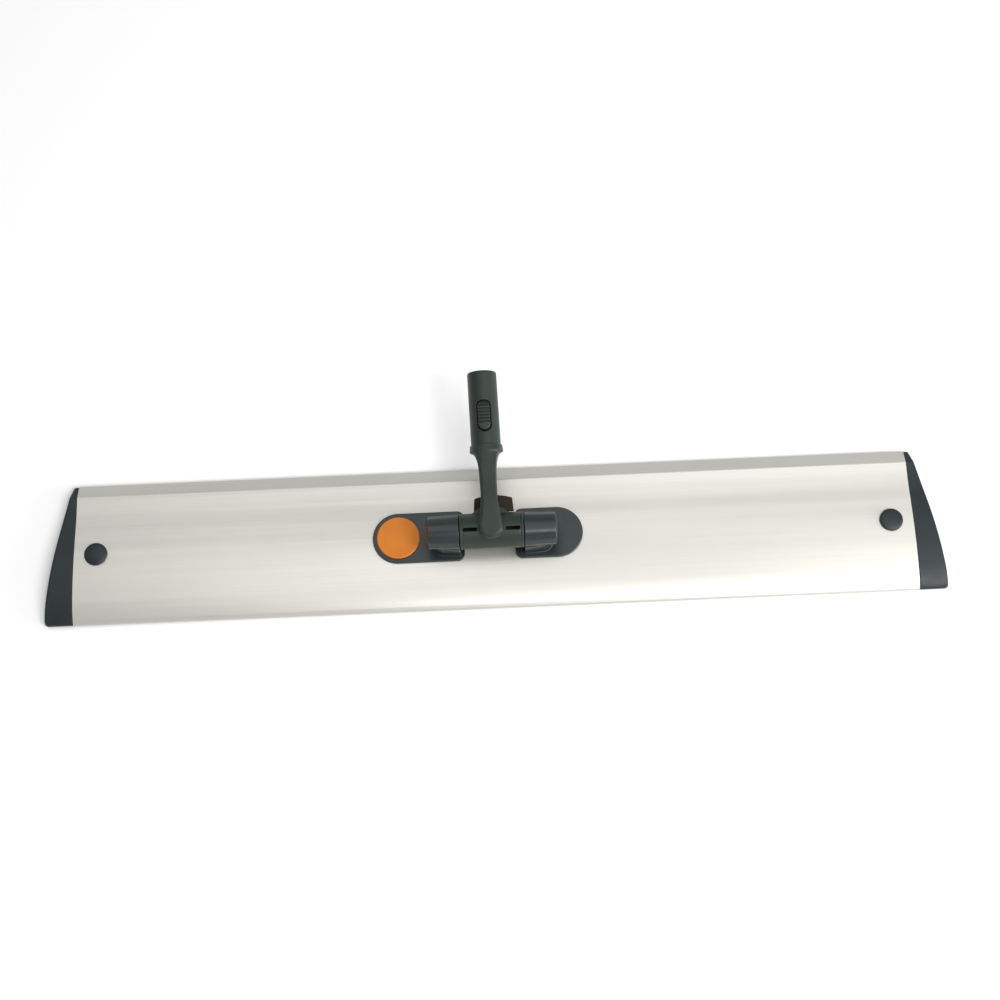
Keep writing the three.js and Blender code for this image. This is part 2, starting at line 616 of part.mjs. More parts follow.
// The fork's side view: two prongs, the slope down to the collar, and the crotch between.
function forkSide() {
  const chamfer = 1.6;
  const end = BULB_HALF_LENGTH;
  const shape = new THREE.Shape();
  shape.moveTo(-end - CUT, PRONG_INNER);
  shape.lineTo(-end - CUT, PRONG_OUTER - chamfer - CUT);
  shape.lineTo(-end + chamfer, PRONG_OUTER);
  shape.lineTo(16, PRONG_OUTER);
  shape.quadraticCurveTo(28, PRONG_OUTER, 38, 12);
  shape.quadraticCurveTo(44, COLLAR_RADIUS, COLLAR_START + 1, COLLAR_RADIUS);
  shape.lineTo(COLLAR_START + 1, -COLLAR_RADIUS);
  shape.quadraticCurveTo(44, -COLLAR_RADIUS, 38, -12);
  shape.quadraticCurveTo(28, -PRONG_OUTER, 16, -PRONG_OUTER);
  shape.lineTo(-end + chamfer, -PRONG_OUTER);
  shape.lineTo(-end - CUT, -PRONG_OUTER + chamfer + CUT);
  shape.lineTo(-end - CUT, -PRONG_INNER);
  shape.lineTo(CROTCH_RADIUS - 6, -PRONG_INNER);
  shape.quadraticCurveTo(CROTCH_RADIUS, -PRONG_INNER, CROTCH_RADIUS, -6);
  shape.lineTo(CROTCH_RADIUS, 6);
  shape.quadraticCurveTo(CROTCH_RADIUS, PRONG_INNER, CROTCH_RADIUS - 6, PRONG_INNER);
  shape.closePath();
  return shape;
}

// The neck's corners are turned down until its front and back run flush into the collar.
const NECK_ENVELOPE = [
  [0, -20], [20, -20], [20, 20], [15.2, 34], [12.9, 42], [11.5, 48],
  [COLLAR_RADIUS, COLLAR_START], [COLLAR_RADIUS, COLLAR_END], [0, COLLAR_END],
];

function handleStub() {
  const collar = turned('y', [
    [0, COLLAR_START], [COLLAR_RADIUS - 0.6, COLLAR_START], [COLLAR_RADIUS, COLLAR_START + 0.5],
    [COLLAR_RADIUS, COLLAR_END], [0, COLLAR_END],
  ]);
  const round = 1.2;
  const barrel = turned('y', [
    [0, COLLAR_END - 1], [STUB_RADIUS_LOW, COLLAR_END - 1], [STUB_RADIUS_HIGH, STUB_END - round],
    [STUB_RADIUS_HIGH - round * 0.3, STUB_END - round * 0.3],
    [STUB_RADIUS_HIGH - round, STUB_END], [0, STUB_END],
  ]);
  const fork = prism(forkPlan(), 'xy', -PRONG_OUTER - CUT, PRONG_OUTER + CUT, 6)
    .intersect(prism(forkSide(), 'yz', -12, 12, 6))
    .intersect(turned('y', NECK_ENVELOPE));
  let handle = union(fork, collar, barrel);
  handle = handle.subtract(rod('y', STUB_BORE_RADIUS, STUB_BORE_START, STUB_END + CUT));
  handle = handle.subtract(slotPrism(SLOT_LENGTH, SLOT_WIDTH, 2, 14));
  const bore = PIN_RADIUS + GAP;
  handle = handle.subtract(rod('z', bore, -PRONG_OUTER - CUT, PIN_TIP + GAP, origin, BORE_SIDES));
  const sink = PIN_HEAD_RADIUS + GAP;
  const seat = PIN_HEAD_SEAT + GAP;
  return handle.subtract(rod('z', sink, -PRONG_OUTER - CUT, seat, origin, BORE_SIDES));
}

// A prism along Z with a long-sided, round-ended plan, centred on the button's station.
function slotPrism(length, width, from, to) {
  const half = width / 2;
  const plan = roundedRectangle(
    -half, half, BUTTON_STATION - length / 2, BUTTON_STATION + length / 2, half - 0.6,
  );
  return prism(plan, 'xy', from, to, 6);
}

const BUTTON_BASE = 3.4;

// The lock button: a crowned, ribbed face in the slot and a wider foot inside the bore that keeps
// it from falling out.
function lockButton() {
  const crown = STUB_RADIUS_LOW + BUTTON_PROUD;
  const stem = slotPrism(BUTTON_LENGTH, BUTTON_WIDTH, BUTTON_BASE, crown + CUT);
  const crownRod = rod('y', crown, BUTTON_STATION - 20, BUTTON_STATION + 20);
  const boreFit = rod('y', STUB_BORE_RADIUS - GAP, BUTTON_STATION - 11.5, BUTTON_STATION + 12);
  const foot = box(-5.8, 5.8, BUTTON_STATION - 11.5, BUTTON_STATION + 12, BUTTON_BASE, 6);
  let button = stem.intersect(crownRod).add(foot.intersect(boreFit));
  const grooves = 5;
  const half = 0.45;
  const edge = BUTTON_WIDTH / 2 - 0.8;
  for (let i = 0; i < grooves; i += 1) {
    const y = BUTTON_STATION + (i - (grooves - 1) / 2) * GROOVE_PITCH;
    button = button.subtract(box(-edge, edge, y - half, y + half, crown - GROOVE_DEPTH, crown + CUT));
  }
  const pocket = rod('z', 3.6, BUTTON_BASE - CUT, BUTTON_BASE + 1.4,
    new THREE.Vector3(0, BUTTON_STATION, 0), 24);
  return button.subtract(pocket);
}

// A round-wire compression spring between the button and the far side of the bore.
class CoilPath extends THREE.Curve {
  constructor(radius, from, to, turns) {
    super();
    this.radius = radius;
    this.from = from;
    this.to = to;
    this.turns = turns;
  }

  getPoint(t, target = new THREE.Vector3()) {
    const angle = t * this.turns * 2 * Math.PI;
    return target.set(
      this.radius * Math.cos(angle),
      BUTTON_STATION + this.radius * Math.sin(angle),
      this.from + t * (this.to - this.from),
    );
  }
}

function buttonSpring() {
  const wire = 0.4;
  const turns = 5;
  const section = new THREE.Shape();
  section.absarc(0, 0, wire, 0, 2 * Math.PI);
  const from = -Math.sqrt(STUB_BORE_RADIUS ** 2 - 3 ** 2) + GAP + wire + 0.4;
  const to = BUTTON_BASE + 1.4 - GAP - wire;
  return solid(new THREE.ExtrudeGeometry(section, {
    steps: turns * 14,
    curveSegments: 3,
    extrudePath: new CoilPath(2.6, from, to, turns),
  }));
}

// ---------- assembly ----------
const mop = new THREE.Group();

mop.add(part('plate_extrusion', plateExtrusion(), anodisedAluminium()));
for (const [name, side] of [['left', -1], ['right', 1]]) {
  mop.add(part(`end_cap_${name}`, endCap(side), darkPlastic()));
  mop.add(part(`cap_plug_${name}`, capPlug(side), darkPlastic()));
  mop.add(part(`bearing_bush_${name}`, bearingBush(side), bearingPlastic()));
  for (const [place, row] of [['front', -1], ['rear', 1]]) {
    mop.add(part(`bracket_screw_${name}_${place}`, bracketScrew(side, row), brightSteel()));
  }
}
mop.add(part('hook_strip_front', hookStrip(-1), hookNylon()));
mop.add(part('hook_strip_rear', hookStrip(1), hookNylon()));
mop.add(part(
  'bracket_left', bracket(-1, LEFT_FLANGE_CENTRE_X, LEFT_FLANGE_INNER_X), darkPlastic(),
));
mop.add(part(
  'bracket_right', bracket(1, RIGHT_FLANGE_CENTRE_X, RIGHT_FLANGE_INNER_X), darkPlastic(),
));
mop.add(part('colour_disc', colourDisc(), orangePlastic()));

// Everything that tilts hangs on the tilt axis.
const cross = new THREE.Group();
cross.position.set(0, PIVOT_Y, PIVOT_HEIGHT);
cross.rotation.x = THREE.MathUtils.degToRad(HANDLE_REST_DEG);
cross.add(part('cross_tube_front', crossTubeHalf(-1), greyPlastic()));
cross.add(part('cross_tube_rear', crossTubeHalf(1), greyPlastic()));
cross.add(part('swivel_washer_upper', swivelWasher(1), bearingPlastic()));
cross.add(part('swivel_washer_lower', swivelWasher(-1), bearingPlastic()));
cross.add(part('stop_tongue', stopTongue(), brownPlastic()));
mop.add(cross);

// The handle turns on the swivel pin, which is fast in its fork.
const handle = new THREE.Group();
handle.position.x = PIN_X;
handle.rotation.z = THREE.MathUtils.degToRad(SWIVEL_REST_DEG);
handle.add(part('handle_stub', handleStub(), greyPlastic()));
handle.add(part('swivel_pin', swivelPin(), brightSteel()));
handle.add(part('lock_button', lockButton(), greyPlastic()));
handle.add(part('button_spring', buttonSpring(), brightSteel()));
cross.add(handle);

export default mop;
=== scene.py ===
"""Looks for the flat mop frame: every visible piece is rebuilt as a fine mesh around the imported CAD
frame, in metres, and given a procedural material. Shapes are worked out in millimetres and scaled
once, when a mesh is made."""
import json
import math

import bmesh
import bpy
import numpy as np
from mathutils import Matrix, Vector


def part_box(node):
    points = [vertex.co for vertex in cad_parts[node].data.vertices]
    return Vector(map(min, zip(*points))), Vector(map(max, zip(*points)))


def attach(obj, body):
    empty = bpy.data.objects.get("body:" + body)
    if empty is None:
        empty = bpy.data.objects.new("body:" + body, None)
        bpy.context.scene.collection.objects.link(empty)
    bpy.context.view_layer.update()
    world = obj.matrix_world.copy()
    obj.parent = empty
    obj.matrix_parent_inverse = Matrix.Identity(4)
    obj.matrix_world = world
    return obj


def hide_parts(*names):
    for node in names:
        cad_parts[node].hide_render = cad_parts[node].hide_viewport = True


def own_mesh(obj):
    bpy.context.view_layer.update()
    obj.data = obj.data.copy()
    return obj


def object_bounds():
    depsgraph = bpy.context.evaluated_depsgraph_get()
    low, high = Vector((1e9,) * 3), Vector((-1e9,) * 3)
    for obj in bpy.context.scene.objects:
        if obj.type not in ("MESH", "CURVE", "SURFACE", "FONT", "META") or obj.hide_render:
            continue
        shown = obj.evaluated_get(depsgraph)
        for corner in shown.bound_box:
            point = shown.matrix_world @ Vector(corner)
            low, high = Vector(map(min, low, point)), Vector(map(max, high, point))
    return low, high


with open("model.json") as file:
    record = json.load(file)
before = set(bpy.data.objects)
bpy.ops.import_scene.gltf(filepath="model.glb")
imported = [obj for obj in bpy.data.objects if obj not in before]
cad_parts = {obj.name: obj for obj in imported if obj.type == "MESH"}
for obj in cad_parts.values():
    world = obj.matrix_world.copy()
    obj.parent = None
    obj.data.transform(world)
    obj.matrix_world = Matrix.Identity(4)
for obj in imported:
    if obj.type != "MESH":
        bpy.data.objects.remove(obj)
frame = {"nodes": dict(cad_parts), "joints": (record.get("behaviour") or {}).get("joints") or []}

import openvdb
from mathutils import Matrix, Vector

cad_low, cad_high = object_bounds()
MM = 0.001
joints = {joint["name"]: joint for joint in frame["joints"]}
nodes = frame["nodes"]

# ---------- dimensions, in millimetres ----------
# They are the CAD frame's own, but for the windows, which are deeper and a little taller here.
GAP = 0.3
PLATE_HALF_LENGTH = 280.5
PLATE_HALF_DEPTH = 48.5
CAP_HALF_LENGTH = 300.0
TUBE_RADIUS = 11.75
TUBE_HALF_LENGTH = 20.9
BARREL_INNER_RADIUS = 11.4
BARREL_OUTER_RADIUS = 10.7
FOOT_INNER_HALF_DEPTH = 11.6
FOOT_OUTER_HALF_DEPTH = 10.2
BARREL_INNER_X = 21.4
BARREL_OUTER_X = 41.8
BARREL_DOME = 2.4
FOOT_OUTER_X = 40.0
FOOT_CORNER = 6.5
TRUNNION_RADIUS = 6.0
TRUNNION_END_X = 40.2
BUSH_RADIUS = 7.6
FLANGE_RADIUS = 17.2
FLANGE_TOP = 10.4
FLANGE_CORNER = 4.5
LEFT_FLANGE = (-62.7, -18.7)      # centre of the round end, inner end
RIGHT_FLANGE = (43.1, 15.3)
DISC_RADIUS = 14.3
DISC_THICKNESS = 1.1
DISC_STEM_RADIUS = 5.0
DISC_STEM_LENGTH = 1.2
HUB_RADIUS = 16.5
HUB_HALF_THICKNESS = 5.0
PIN_RADIUS = 3.0
PIN_HOLE_RADIUS = 3.3
WASHER_RADIUS = 6.0
WASHER_INNER, WASHER_OUTER = 10.7, 11.7    # heights of a washer's two faces
PRONG_INNER = 12.1
PRONG_OUTER = 15.6
CROTCH = 26.4
CROTCH_CORNER = 5.0
BULB_HALF_WIDTH = 8.0
BULB_HALF_LENGTH = 6.6
COLLAR_START = 52.2
COLLAR_END = 56.5
COLLAR_RADIUS = 11.1
STUB_END = 105.8
STUB_RADIUS_LOW = 9.85
STUB_RADIUS_HIGH = 9.74
STUB_BORE = 7.3
STUB_BORE_START = 60.0
BUTTON_STATION = 75.3
SLOT_LENGTH = 21.2
SLOT_WIDTH = 9.2
BUTTON_LENGTH = 19.0
BUTTON_WIDTH = 7.8
BUTTON_PROUD = 1.2
BUTTON_BASE = 3.4
GROOVE_PITCH = 2.15
GROOVE_DEPTH = 1.2
GROOVE_SHIFT = 0.1                # the six grooves sit a little towards the far end
GROOVE_HALF_FLOOR = 0.32
GROOVE_DRAFT = 0.2
GROOVE_END_WALL = 0.5
RAMP_START = 7.2                  # from here the far end of the button slopes down
RAMP_SLOPE = 0.75
BUTTON_CROWN = 0.75               # below 1 the button's top is flatter than the stub
BUTTON_FOOT_HALF_WIDTH = 5.8      # the foot keeps the button in the stub
BUTTON_FOOT_SPAN = (-11.5, 12.0)
BUTTON_FOOT_TOP = 6.0
SPRING_POCKET_RADIUS = 3.6
SPRING_POCKET_DEPTH = 1.4
WINDOW_CENTRE = 13.95             # windows in the cross tube, along it and round it
WINDOW_HALF_LENGTH = 4.55
WINDOW_HALF_HEIGHT = 1.2
WINDOW_FLOOR = 2.4
PARTING_GAP = 0.03                # between the two halves of the cross tube
HANDLE_LEAN = math.radians(1.2)   # how far the handle lies to the left at rest
PIVOT = Vector(joints["handle_tilt"]["pos_m"]) / MM
PIN_X = joints["handle_swivel"]["pos_m"][0] / MM
PIN_AXIS = Vector(joints["handle_swivel"]["axis"]).normalized()

# Places that move with the joint are drawn about the pivot: X along the tilt axis, Y along the
# handle and Z along the swivel pin.
cross_frame = Matrix.Identity(4)
for column, axis in enumerate((Vector((1, 0, 0)), PIN_AXIS.cross(Vector((1, 0, 0))), PIN_AXIS)):
    for row in range(3):
        cross_frame[row][column] = axis[row]
cross_frame = Matrix.Translation(PIVOT) @ cross_frame
pin_frame = cross_frame @ Matrix.Translation((PIN_X, 0, 0))
handle_frame = pin_frame @ Matrix.Rotation(HANDLE_LEAN, 4, "Z")
base_frame = Matrix.Identity(4)


# ---------- distance fields ----------
# A field takes arrays x, y, z and gives the signed distance to a surface, negative inside.
def both(a, b, edge=0.0):
    """Where two solids overlap, with the edge between them rounded."""
    if edge == 0:
        return np.maximum(a, b)
    return np.minimum(np.maximum(a, b), -edge) + np.hypot(
        np.maximum(a + edge, 0), np.maximum(b + edge, 0)
    )


def either(a, b, fillet=0.0):
    """Two solids joined, with a fillet in the corner between them."""
    return -both(-a, -b, fillet)


def without(a, b, edge=0.0):
    return both(a, -b, edge)


def rod(u, v, along, radius, low, high, edge=0.3):
    return both(np.hypot(u, v) - radius, slab(along, low, high), edge)


def slab(along, low, high):
    return np.abs(along - (low + high) / 2) - (high - low) / 2


def rounded_plan(u, v, half_u, half_v, corner):
    """A rectangle with round corners, about the origin."""
    a = np.abs(u) - half_u + corner
    b = np.abs(v) - half_v + corner
    outside = np.hypot(np.maximum(a, 0), np.maximum(b, 0))
    return outside + np.minimum(np.maximum(a, b), 0) - corner


def curve_through(stations, values):
    """A smooth function through a few points, by monotone cubic pieces."""
    xs, ys = np.array(stations, float), np.array(values, float)
    step = np.diff(xs)
    slope = np.diff(ys) / step
    tangent = np.concatenate(([slope[0]], (slope[:-1] + slope[1:]) / 2, [slope[-1]]))
    flat = slope[:-1] * slope[1:] <= 0
    tangent[1:-1][flat] = 0

    def at(x):
        x = np.clip(x, xs[0], xs[-1])
        k = np.clip(np.searchsorted(xs, x, side="right") - 1, 0, len(step) - 1)
        t = (x - xs[k]) / step[k]
        a, b = ys[k], ys[k + 1]
        ta, tb = tangent[k] * step[k], tangent[k + 1] * step[k]
        t2, t3 = t * t, t * t * t
        blend = (2 * t3 - 3 * t2 + 1) * a + (t3 - 2 * t2 + t) * ta
        return blend + (3 * t2 - 2 * t3) * b + (t3 - t2) * tb

    return at


# ---------- meshes ----------
def finish_mesh(name, mesh, place, body, material, replaced):
    mesh.transform(Matrix.Scale(MM, 4) @ place)
    piece = bpy.data.objects.new(name, mesh)
    bpy.context.scene.collection.objects.link(piece)
    mesh.materials.clear()
    mesh.materials.append(material)
    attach(piece, body)
    if replaced:
        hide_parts(*replaced)
    return piece


def gradient(field, points, reach=0.02):
    slopes = []
    for k in range(3):
        shift = np.zeros(3)
        shift[k] = reach
        ahead, behind = points + shift, points - shift
        slopes.append((field(*ahead.T) - field(*behind.T)) / (2 * reach))
    return np.stack(slopes, axis=1)


def skin(name, field, low, high, voxel, place, body, material, replaced):
    """Meshes the zero surface of a distance field, and takes its normals from the field."""
    voxel = voxel * 1
    axes = [np.arange(a - 2.5 * voxel, b + 3.5 * voxel, voxel) for a, b in zip(low, high)]
    x, y, z = np.meshgrid(*axes, indexing="ij", sparse=True)
    full = np.broadcast_to(0.0, [len(a) for a in axes])
    values = np.clip(field(x + full, y + full, z + full), -3 * voxel, 3 * voxel)
    grid = openvdb.FloatGrid(3 * voxel)
    grid.copyFromArray(values.astype(np.float32))
    points, quads = grid.convertToQuads(isovalue=0.0)
    points = points * voxel + np.array([a[0] for a in axes])
    for _ in range(3):
        slope = gradient(field, points)
        size = np.maximum((slope ** 2).sum(1), 0.2)
        step = (field(*points.T) / size)[:, None] * slope
        points -= np.clip(step, -0.5 * voxel, 0.5 * voxel)
    slope = gradient(field, points)
    normals = slope / np.maximum(np.linalg.norm(slope, axis=1), 1e-6)[:, None]
    mesh = bpy.data.meshes.new(name)
    mesh.from_pydata(points.tolist(), [], quads.tolist())
    mesh.validate()
    inward = sum(p.normal.dot(Vector(normals[p.vertices[0]])) for p in mesh.polygons[:200]) < 0
    if inward:
        mesh.flip_normals()
    mesh.polygons.foreach_set("use_smooth", [True] * len(mesh.polygons))
    piece = finish_mesh(name, mesh, place, body, material, replaced)
    turn = np.array(place.to_3x3())
    piece.data.normals_split_custom_set_from_vertices((normals @ turn.T).tolist())
    return piece


def smooth_by_angle(mesh, degrees=35):
    mesh.polygons.foreach_set("use_smooth", [True] * len(mesh.polygons))
    mesh.set_sharp_from_angle(angle=math.radians(degrees))


def arc(cx, cy, radius, start, end, steps=6):
    """Points on an arc, in degrees."""
    angles = np.radians(np.linspace(start, end, steps + 1))
    return [(cx + radius * math.cos(a), cy + radius * math.sin(a)) for a in angles]


def turned(name, profile, place, body, material, replaced, sides=96):
    """Turns a profile of (radius, height) points, closed on the axis or on itself, about Z."""
    bm = bmesh.new()
    rings = []
    for radius, height in profile:
        if radius < 1e-6:
            rings.append([bm.verts.new((0, 0, height))])
            continue
        turns = (2 * math.pi * k / sides for k in range(sides))
        rings.append([
            bm.verts.new((radius * math.cos(t), radius * math.sin(t), height)) for t in turns
        ])
    closed = len(rings[0]) > 1
    pairs = list(zip(rings, rings[1:] + rings[:1])) if closed else list(zip(rings, rings[1:]))
    for lower, upper in pairs:
        for k in range(sides):
            n = (k + 1) % sides
            corners = [lower[k % len(lower)], lower[n % len(lower)],
                       upper[n % len(upper)], upper[k % len(upper)]]
            corners = list(dict.fromkeys(corners))
            bm.faces.new(corners)
    bmesh.ops.recalc_face_normals(bm, faces=bm.faces)
    mesh = bpy.data.meshes.new(name)
    bm.to_mesh(mesh)
    bm.free()
    smooth_by_angle(mesh)
    return finish_mesh(name, mesh, place, body, material, replaced)


# ---------- materials ----------
class Nodes:
    """A material's node tree, with short calls for the few node kinds used here."""

    def __init__(self, name):
        self.material = bpy.data.materials.new(name)
        self.material.use_nodes = True
        self.tree = self.material.node_tree
        self.shader = self.tree.nodes["Principled BSDF"]
        self.coords = self.add("ShaderNodeTexCoord").outputs["Object"]

    def add(self, kind, **settings):
        node = self.tree.nodes.new(kind)
        for key, value in settings.items():
            setattr(node, key, value)
        return node

    def link(self, source, target):
        self.tree.links.new(source, target)

    def stretched(self, scale):
        mapping = self.add("ShaderNodeMapping")
        mapping.inputs["Scale"].default_value = scale
        self.link(self.coords, mapping.inputs["Vector"])
        return mapping.outputs["Vector"]

    def noise(self, scale, detail=2.0, rough=0.5, vector=None):
        node = self.add("ShaderNodeTexNoise")
        node.inputs["Scale"].default_value = scale
        node.inputs["Detail"].default_value = detail
        node.inputs["Roughness"].default_value = rough
        self.link(vector or self.coords, node.inputs["Vector"])
        return node.outputs["Fac"]

    def spread(self, value, low, high, at_low=0.3, at_high=0.7):
        node = self.add("ShaderNodeMapRange")
        node.inputs["From Min"].default_value = at_low
        node.inputs["From Max"].default_value = at_high
        node.inputs["To Min"].default_value = low
        node.inputs["To Max"].default_value = high
        self.link(value, node.inputs["Value"])
        return node.outputs["Result"]

    def mix(self, factor, a, b):
        node = self.add("ShaderNodeMix", data_type="RGBA")
        self.link(factor, node.inputs["Factor"])
        for value, slot in ((a, node.inputs["A"]), (b, node.inputs["B"])):
            if isinstance(value, tuple):
                slot.default_value = (*value, 1)
            else:
                self.link(value, slot)
        return node.outputs["Result"]

    def bump(self, height, strength, distance, under=None):
        node = self.add("ShaderNodeBump")
        node.inputs["Strength"].default_value = strength
        node.inputs["Distance"].default_value = distance
        self.link(height, node.inputs["Height"])
        if under:
            self.link(under, node.inputs["Normal"])
        return node.outputs["Normal"]

    def convex_edges(self, low=0.52, high=0.60):
        return self.spread(self.add("ShaderNodeNewGeometry").outputs["Pointiness"], 0, 1, low, high)


def srgb(red, green, blue):
    """Linear colour of an 8-bit screen colour."""
    def linear(v):
        v /= 255
        return v / 12.92 if v <= 0.04045 else ((v + 0.055) / 1.055) ** 2.4
    return tuple(linear(v) for v in (red, green, blue))


def scaled(colour, share):
    return tuple(min(1.0, v * share) for v in colour)


def moulded_plastic(name, colour, roughness=0.45, grain=0.00004, edge_highlight=1.5, specular=0.5):
    """Moulded plastic: a fine spark-eroded grain, soft shade changes, and convex edges painted
    lighter as a painted highlight.
    """
    n = Nodes(name)
    shade = n.mix(n.spread(n.noise(45, 3), 0, 1), scaled(colour, 0.9), scaled(colour, 1.1))
    grit = n.noise(900, 2)
    speck = n.mix(n.spread(grit, 0, 1), shade, scaled(colour, 1.18))
    tone = n.mix(n.spread(grit, 0, 0.35), shade, speck)
    # Convex edges are painted lighter here: a painted highlight along them.
    highlighted_edges = n.mix(n.convex_edges(), tone, scaled(colour, edge_highlight))
    n.link(highlighted_edges, n.shader.inputs["Base Color"])
    smudges = n.spread(n.noise(70, 4, 0.6), roughness - 0.06, roughness + 0.08)
    n.link(smudges, n.shader.inputs["Roughness"])
    fine = n.bump(n.noise(2600, 2, 0.6), 0.5, grain)
    n.link(n.bump(n.noise(220, 2), 0.25, grain * 2, fine), n.shader.inputs["Normal"])
    n.shader.inputs["IOR"].default_value = 1.5
    n.shader.inputs["Specular IOR Level"].default_value = specular
    return n.material


def anodised_aluminium():
    """Satin anodised extrusion: fine die lines along the length, and a faint cloudiness."""
    n = Nodes("anodised_aluminium")
    colour = srgb(206, 204, 197)
    lines = n.noise(1, 4, 0.65, n.stretched((2.5, 1500, 1500)))
    broad = n.noise(1, 3, 0.5, n.stretched((3, 130, 130)))
    cloud = n.noise(14, 3, 0.55)
    base = n.mix(n.spread(broad, 0, 1), scaled(colour, 0.95), scaled(colour, 1.03))
    base = n.mix(n.spread(lines, 0, 0.35), base, scaled(colour, 0.86))
    tone = n.mix(n.spread(cloud, 0, 0.5), base, scaled(colour, 1.02))
    n.link(tone, n.shader.inputs["Base Color"])
    n.shader.inputs["Metallic"].default_value = 0.72
    n.shader.inputs["Anisotropic"].default_value = 0.45
    n.link(n.spread(lines, 0.36, 0.5), n.shader.inputs["Roughness"])
    n.link(n.bump(lines, 0.35, 0.00003), n.shader.inputs["Normal"])
    return n.material


def steel():
    """Bright steel with fine turning marks."""
    n = Nodes("bright_steel")
    colour = srgb(188, 191, 194)
    rings = n.noise(1, 3, 0.5, n.stretched((200, 200, 3000)))
    tone = n.mix(n.spread(rings, 0, 1), scaled(colour, 0.85), colour)
    n.link(tone, n.shader.inputs["Base Color"])
    n.shader.inputs["Metallic"].default_value = 1.0
    n.link(n.spread(rings, 0.22, 0.38), n.shader.inputs["Roughness"])
    n.link(n.bump(rings, 0.3, 0.00002), n.shader.inputs["Normal"])
    return n.material


def nylon(name, colour):
    """Woven nylon, its threads running across the strip."""
    n = Nodes(name)
    threads = n.noise(1, 2, 0.5, n.stretched((500, 2200, 2200)))
    n.link(n.mix(n.spread(threads, 0, 1), scaled(colour, 0.75), scaled(colour, 1.15)),
           n.shader.inputs["Base Color"])
    n.shader.inputs["Roughness"].default_value = 0.55
    n.link(n.bump(threads, 0.6, 0.0001), n.shader.inputs["Normal"])
    return n.material


# Each plastic's edge factor paints its convex edges lighter, as a painted highlight.
dark_plastic = moulded_plastic("dark_plastic", srgb(22, 32, 35), 0.42, edge_highlight=2.4, specular=0.4)
bracket_plastic = moulded_plastic("bracket_plastic", srgb(20, 32, 33), 0.32, 0.00003, 3.6)
grey_plastic = moulded_plastic("grey_plastic", srgb(32, 43, 37), 0.44, 0.00003, 1.6, 0.35)
# The tongue's plastic is coloured darker and warmer than the other plastics.
brown_plastic = moulded_plastic("brown_plastic", srgb(42, 36, 28), 0.6, specular=0.12)
orange_plastic = moulded_plastic("orange_plastic", srgb(196, 112, 20), 0.42, 0.00003, 1.12, 0.35)
bearing_plastic = moulded_plastic("bearing_plastic", srgb(226, 224, 214), 0.35, 0.00002, 1.05)
aluminium = anodised_aluminium()
bright_steel = steel()
hook_nylon = nylon("hook_nylon", srgb(120, 124, 126))


# ---------- extrusion and end caps ----------
RIDGE = (39.8, 6.55)
RIDGE_ROUND = 0.6
EDGE_HEIGHT = 2.6
CROWN_FRONT = -48.0               # the crown's curve starts here
crown = curve_through(
    [-48, -45.6, -38, -26, -14, -2, 12, 22, 30, 38.8],
    [2.9, 4.1, 6.4, 8.0, 8.6, 8.4, 7.4, 6.5, 6.3, 6.6],
)


def top_height(y):
    """Height of the extrusion's upper face: the rear bevel turns over into the scooped crown."""
    bevel_slope = (RIDGE[1] - EDGE_HEIGHT) / (PLATE_HALF_DEPTH - RIDGE[0])
    bevel = EDGE_HEIGHT + (PLATE_HALF_DEPTH - y) * bevel_slope
    gap = crown(y) - bevel
    blend = np.clip(0.5 + 0.5 * gap / RIDGE_ROUND, 0, 1)
    eased = crown(y) * (1 - blend) + bevel * blend - RIDGE_ROUND * blend * (1 - blend) * 0.5
    return np.where(y > 34, eased, crown(y))


STRIP_Y, STRIP_WIDTH, STRIP_RECESS, STRIP_HALF_LENGTH = 29.0, 24.0, 0.8, 275.0
FLOOR, SKIN = 1.8, 1.6
CHAMBERS = ((-45.0, -24.5), (-22.5, 18.5), (20.5, 43.0))
SCREW_X, SCREW_ROW = 31.0, 6.2
SCREW_SPOTS = [(side * SCREW_X, PIVOT.y + row * SCREW_ROW) for side in (-1, 1) for row in (-1, 1)]
ACCESS_HOLE_RADIUS, SCREW_HOLE_RADIUS = 4.6, 2.3


def plate_outline():
    rear = PLATE_HALF_DEPTH
    edge = 0.5
    ring = arc(-rear + edge, edge, edge, 180, 270, 3)
    for side in (-1, 1):
        near, far = side * STRIP_Y - STRIP_WIDTH / 2 - GAP, side * STRIP_Y + STRIP_WIDTH / 2 + GAP
        ring += [(near, 0), (near, STRIP_RECESS), (far, STRIP_RECESS), (far, 0)]
    ring += arc(rear - edge, edge, edge, 270, 360, 3)
    ring += arc(rear - edge, EDGE_HEIGHT - edge * 0.4, edge, 0, 60, 3)
    ys = np.concatenate([np.linspace(rear - 0.8, 42, 5), np.linspace(41.6, 36, 22),
                         np.linspace(35, -45.6, 80), np.linspace(-46, -rear + 0.5, 8)])
    ring += [(y, float(top_height(y))) for y in ys]
    ring += [(-rear, EDGE_HEIGHT - 0.3)]
    return ring


def chamber_outline(low, high):
    corner = 0.6
    roof = [(y, float(top_height(y)) - SKIN) for y in np.linspace(high - corner, low + corner, 12)]
    roof = [(y, max(z, FLOOR + 0.5)) for y, z in roof]
    return [(low, FLOOR), (high, FLOOR), (high, roof[0][1] - corner), *roof,
            (low, roof[-1][1] - corner)]


